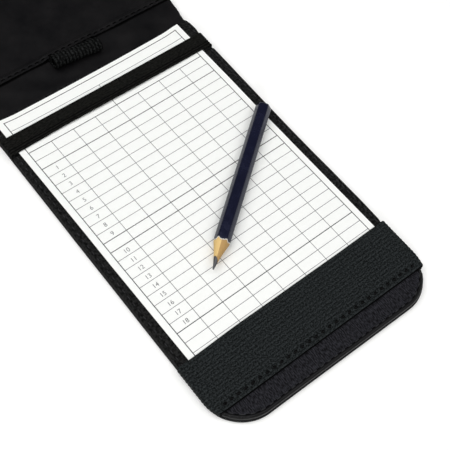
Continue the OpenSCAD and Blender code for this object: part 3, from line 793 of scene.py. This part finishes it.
# navy lacquer, dipped in thin coats: glossy, faint orange peel, a little dulled by handling
lacquer, tree, onPencil = pencilMaterial("dippedNavyLacquer")
peel = addNode(tree, "TexNoise", {"Scale": 1 / (0.9 * mm), "Detail": 2.0}, onPencil)
wear = addNode(tree, "TexNoise", {"Scale": 1 / (6 * mm), "Detail": 4.0, "Roughness": 0.65}, onPencil)
colour = addNode(tree, "Mix", between("#090a1c", "#10122a"), {0: (wear, "Fac")})
rough = addNode(tree, "MapRange", {"From Min": 0.3, "From Max": 0.75, "To Min": 0.16, "To Max": 0.34},
                {"Value": (wear, "Fac")})
bump = addNode(tree, "Bump", {"Strength": 0.25, "Distance": 0.02 * mm}, {"Height": (peel, "Fac")})
shader = addNode(tree, "BsdfPrincipled", {"IOR": 1.47, "Specular IOR Level": 0.42, "Specular Tint": linear("#d0d8f2")},
                 {"Base Color": (colour, 2), "Roughness": (rough, 0), "Normal": (bump, 0)})
finishMaterial(lacquer, shader)

# soft wood, cut across its grain by the sharpener; one half painted paler as painted light and the other darker as
# painted shade
wood, tree, onPencil = pencilMaterial("sharpenedSoftwood")
stretched = addNode(tree, "Mapping", {"Scale": (0.12, 1, 1)}, onPencil)
grain = addNode(tree, "TexNoise", {"Scale": 1 / (0.45 * mm), "Detail": 4.0}, {"Vector": (stretched, 0)})
apart = addNode(tree, "SeparateXYZ", {}, onPencil)
litSide = addNode(tree, "MapRange", {"From Min": -0.1 * mm, "From Max": 0.1 * mm}, {"Value": (apart, "Y")})
# the pale mix is the half painted as lit, the other mix the half painted as shaded
pale = addNode(tree, "Mix", between("#d8b572", "#e8c686"), {0: (grain, "Fac")})
shadedSideWood = addNode(tree, "Mix", between("#ad874f", "#ba9762"), {0: (grain, "Fac")})
colour = addNode(tree, "Mix", {"data_type": "RGBA"}, {0: (litSide, 0), 6: (shadedSideWood, 2), 7: (pale, 2)})
bump = addNode(tree, "Bump", {"Strength": 0.4, "Distance": 0.05 * mm}, {"Height": (grain, "Fac")})
shader = addNode(tree, "BsdfPrincipled", {"IOR": 1.5, "Roughness": 0.6, "Specular IOR Level": 0.3},
                 {"Base Color": (colour, 2), "Normal": (bump, 0)})
finishMaterial(wood, shader)

# graphite and clay, polished by the sharpener
graphite, tree, onPencil = pencilMaterial("polishedGraphite")
streak = addNode(tree, "Mapping", {"Scale": (0.2, 1, 1)}, onPencil)
lines = addNode(tree, "TexNoise", {"Scale": 1 / (0.25 * mm), "Detail": 3.0}, {"Vector": (streak, 0)})
colour = addNode(tree, "Mix", between("#2b2b2e", "#4a4b4d"), {0: (lines, "Fac")})
bump = addNode(tree, "Bump", {"Strength": 0.3, "Distance": 0.02 * mm}, {"Height": (lines, "Fac")})
shader = addNode(tree, "BsdfPrincipled", {"IOR": 1.6, "Roughness": 0.45},
                 {"Base Color": (colour, 2), "Normal": (bump, 0)})
finishMaterial(graphite, shader)

# the white undercoat shows where the sharpener cut through the paint
undercoat = speckled("chalkUndercoat", "#d5d0c4", "#ece7dd", 0.5, 0.7, 0.3, 0.02)

# lacquer: from where the cone meets the paint, its square solved for s, to the butt and back inside; thin at the cut
taper, hollow = pencil["taper"], pencil["hollow"]
paintFrom = (np.sqrt(taper**2 + 4 * hollow * (outerR - pencil["tipR"])) - taper) / (2 * hollow) + ragged
t = np.r_[0, 0.006, 0.016, np.linspace(0.05, 1, 40)][:, None]
thinned = np.zeros((len(t), 1))
thinned[:2, 0] = 0.13, 0.05
s = np.concatenate([paintFrom + t * (butt - pencil["chamfer"] - paintFrom), rings(butt - 0.25, butt, butt),
                    paintFrom[None] + 0.2])
r = np.concatenate([outerR - thinned, outerR - [[0.12], [0.4]], innerR - [[0.35], [0]]])
picks = np.zeros(s.size)
picks[: len(angle)] = picks[-len(angle) :] = 1
pencilPiece("pencilLacquer", s, r, [lacquer, undercoat], "lacquer", "pencil_lacquer", picks=picks)

# wood: the cone from the lead to the paint, then under the paint to the butt and back along the lead
cone = leadTo + np.linspace(0, 1, 14)[:, None] * (paintFrom + 0.1 - leadTo)
s = np.concatenate([cone, rings(butt - 0.3, butt, butt)])
r = np.concatenate([np.minimum(coneRadius(cone), innerR - 0.02), innerR - [[0.05], [0.36]],
                    rings(pencil["lead"] + 0.01)])
pencilPiece("pencilWood", s, r, [wood], "pencil_wood", "pencil_casing")

# lead: a blunted cone to the wood, then a rod to the butt, closed at both ends
blunt, k = pencil["blunt"], np.array([0.0, 0.25, 0.6, 0.85, 1.0]) * np.pi / 2
bare = np.linspace(0.12, 1, 12)[:, None] * (leadTo + 0.15)
s = np.concatenate([rings(*(blunt - blunt * np.cos(k))), bare, rings(butt, butt)])
r = np.concatenate([rings(*(np.sin(k) * coneRadius(blunt))), coneRadius(bare), rings(pencil["lead"], 0)])
pencilPiece("pencilLead", s, r, [graphite], "graphite", "pencil_lead", closed=False)
print("pencil: lacquer, wood and lead")


# matt white floor; it glows more the further off it is seen, so that it runs into the white behind it
stage = dict(half=15000.0, drop=0.02, colour="#f4f4f2", mottled="#f6f6f5", glow=0.12, skyLight=0.2)
floorMaterial, tree = startMaterial("mattFloorPaint")
place = addNode(tree, "TexCoord")
mottle = addNode(tree, "TexNoise", {"Scale": 3.0, "Detail": 2.0}, {"Vector": (place, "Object")})
colour = addNode(tree, "Mix", between(stage["colour"], stage["mottled"]), {0: (mottle, "Fac")})
matt = addNode(tree, "BsdfPrincipled", {"Roughness": 0.9, "Specular IOR Level": 0.1}, {"Base Color": (colour, 2)})
rays = addNode(tree, "LightPath")
seen = addNode(tree, "Math", {"operation": "MAXIMUM"}, {0: (rays, "Is Camera Ray"), 1: (rays, "Is Glossy Ray")})
seen = addNode(tree, "Math", {"operation": "MAXIMUM"}, {0: (seen, 0), 1: (rays, "Is Transmission Ray")})
away = addNode(tree, "VectorMath", {"operation": "LENGTH"}, {0: (place, "Object")})
far = addNode(tree, "MapRange", {"From Min": 0.4, "From Max": 1.6, "To Min": stage["glow"]},
              {"Value": (away, "Value")})
lit = addNode(tree, "Math", {"operation": "MULTIPLY"}, {0: (seen, 0), 1: (far, 0)})
glow = addNode(tree, "Emission", {"Color": (1, 1, 1, 1)}, {"Strength": (lit, 0)})
finishMaterial(floorMaterial, addNode(tree, "AddShader", {}, {0: (matt, 0), 1: (glow, 0)}))
corners = np.array([[-1, -1, 0], [1, -1, 0], [1, 1, 0], [-1, 1, 0]]) * stage["half"] - [0, 0, stage["drop"]]
floor = makePiece("floor", corners, [[0, 1, 2, 3]], [floorMaterial])


def lookAt(thing, spec):
    # stands at its place, faces its aim and is rolled about that line
    thing.location = Vector(spec["place"]) * mm
    thing.rotation_mode = "QUATERNION"
    facing = (Vector(spec["aim"]) - Vector(spec["place"])).to_track_quat("-Z", "Y")
    thing.rotation_quaternion = facing @ Quaternion((0, 0, 1), np.radians(spec.get("roll", 0)))


# a broad key behind on the left, a broad fill in front, and a small low lamp for the glints on the near edges
lamps = dict(key=dict(place=(-450, 250, 1300), aim=(0, -90, 0), size=1300, power=12.9),
             fill=dict(place=(350, -650, 1250), aim=(0, -90, 0), size=1300, power=8.1),
             front=dict(place=(-600, -960, 550), aim=(-20, -150, 0), size=200, power=3.0))
for name, spec in lamps.items():
    lamp = bpy.data.lights.new(name + "Softbox", "AREA")
    lamp.shape, lamp.size, lamp.energy = "SQUARE", spec["size"] * mm, spec["power"]
    lookAt(addObject(name + "Softbox", lamp), spec)
world = bpy.data.worlds.new("studio")
bpy.context.scene.world = world
world.use_nodes = True
tree = world.node_tree
tree.nodes.clear()
rays = addNode(tree, "LightPath")
level = addNode(tree, "MapRange", {"To Min": stage["skyLight"]}, {"Value": (rays, "Is Camera Ray")})
sky = addNode(tree, "Background", {"Color": (1, 1, 1, 1)}, {"Strength": (level, 0)})
addNode(tree, "OutputWorld", {}, {"Surface": (sky, 0)})

view = dict(place=(-145.8, -254.3, 345.5), aim=(-1.0, -112.0, 4.5), roll=8.41, focalPx=938.5, framePx=450)
cameraData = bpy.data.cameras.new("camera")
cameraData.sensor_width = 36.0
cameraData.lens = view["focalPx"] / view["framePx"] * cameraData.sensor_width
cameraData.clip_start, cameraData.clip_end = 0.01, 100
camera = addObject("camera", cameraData)
lookAt(camera, view)
bpy.context.scene.camera = camera
bpy.context.scene.view_settings.view_transform = "Standard"
print("stage: floor, three softboxes and camera")

bpy.context.view_layer.update()
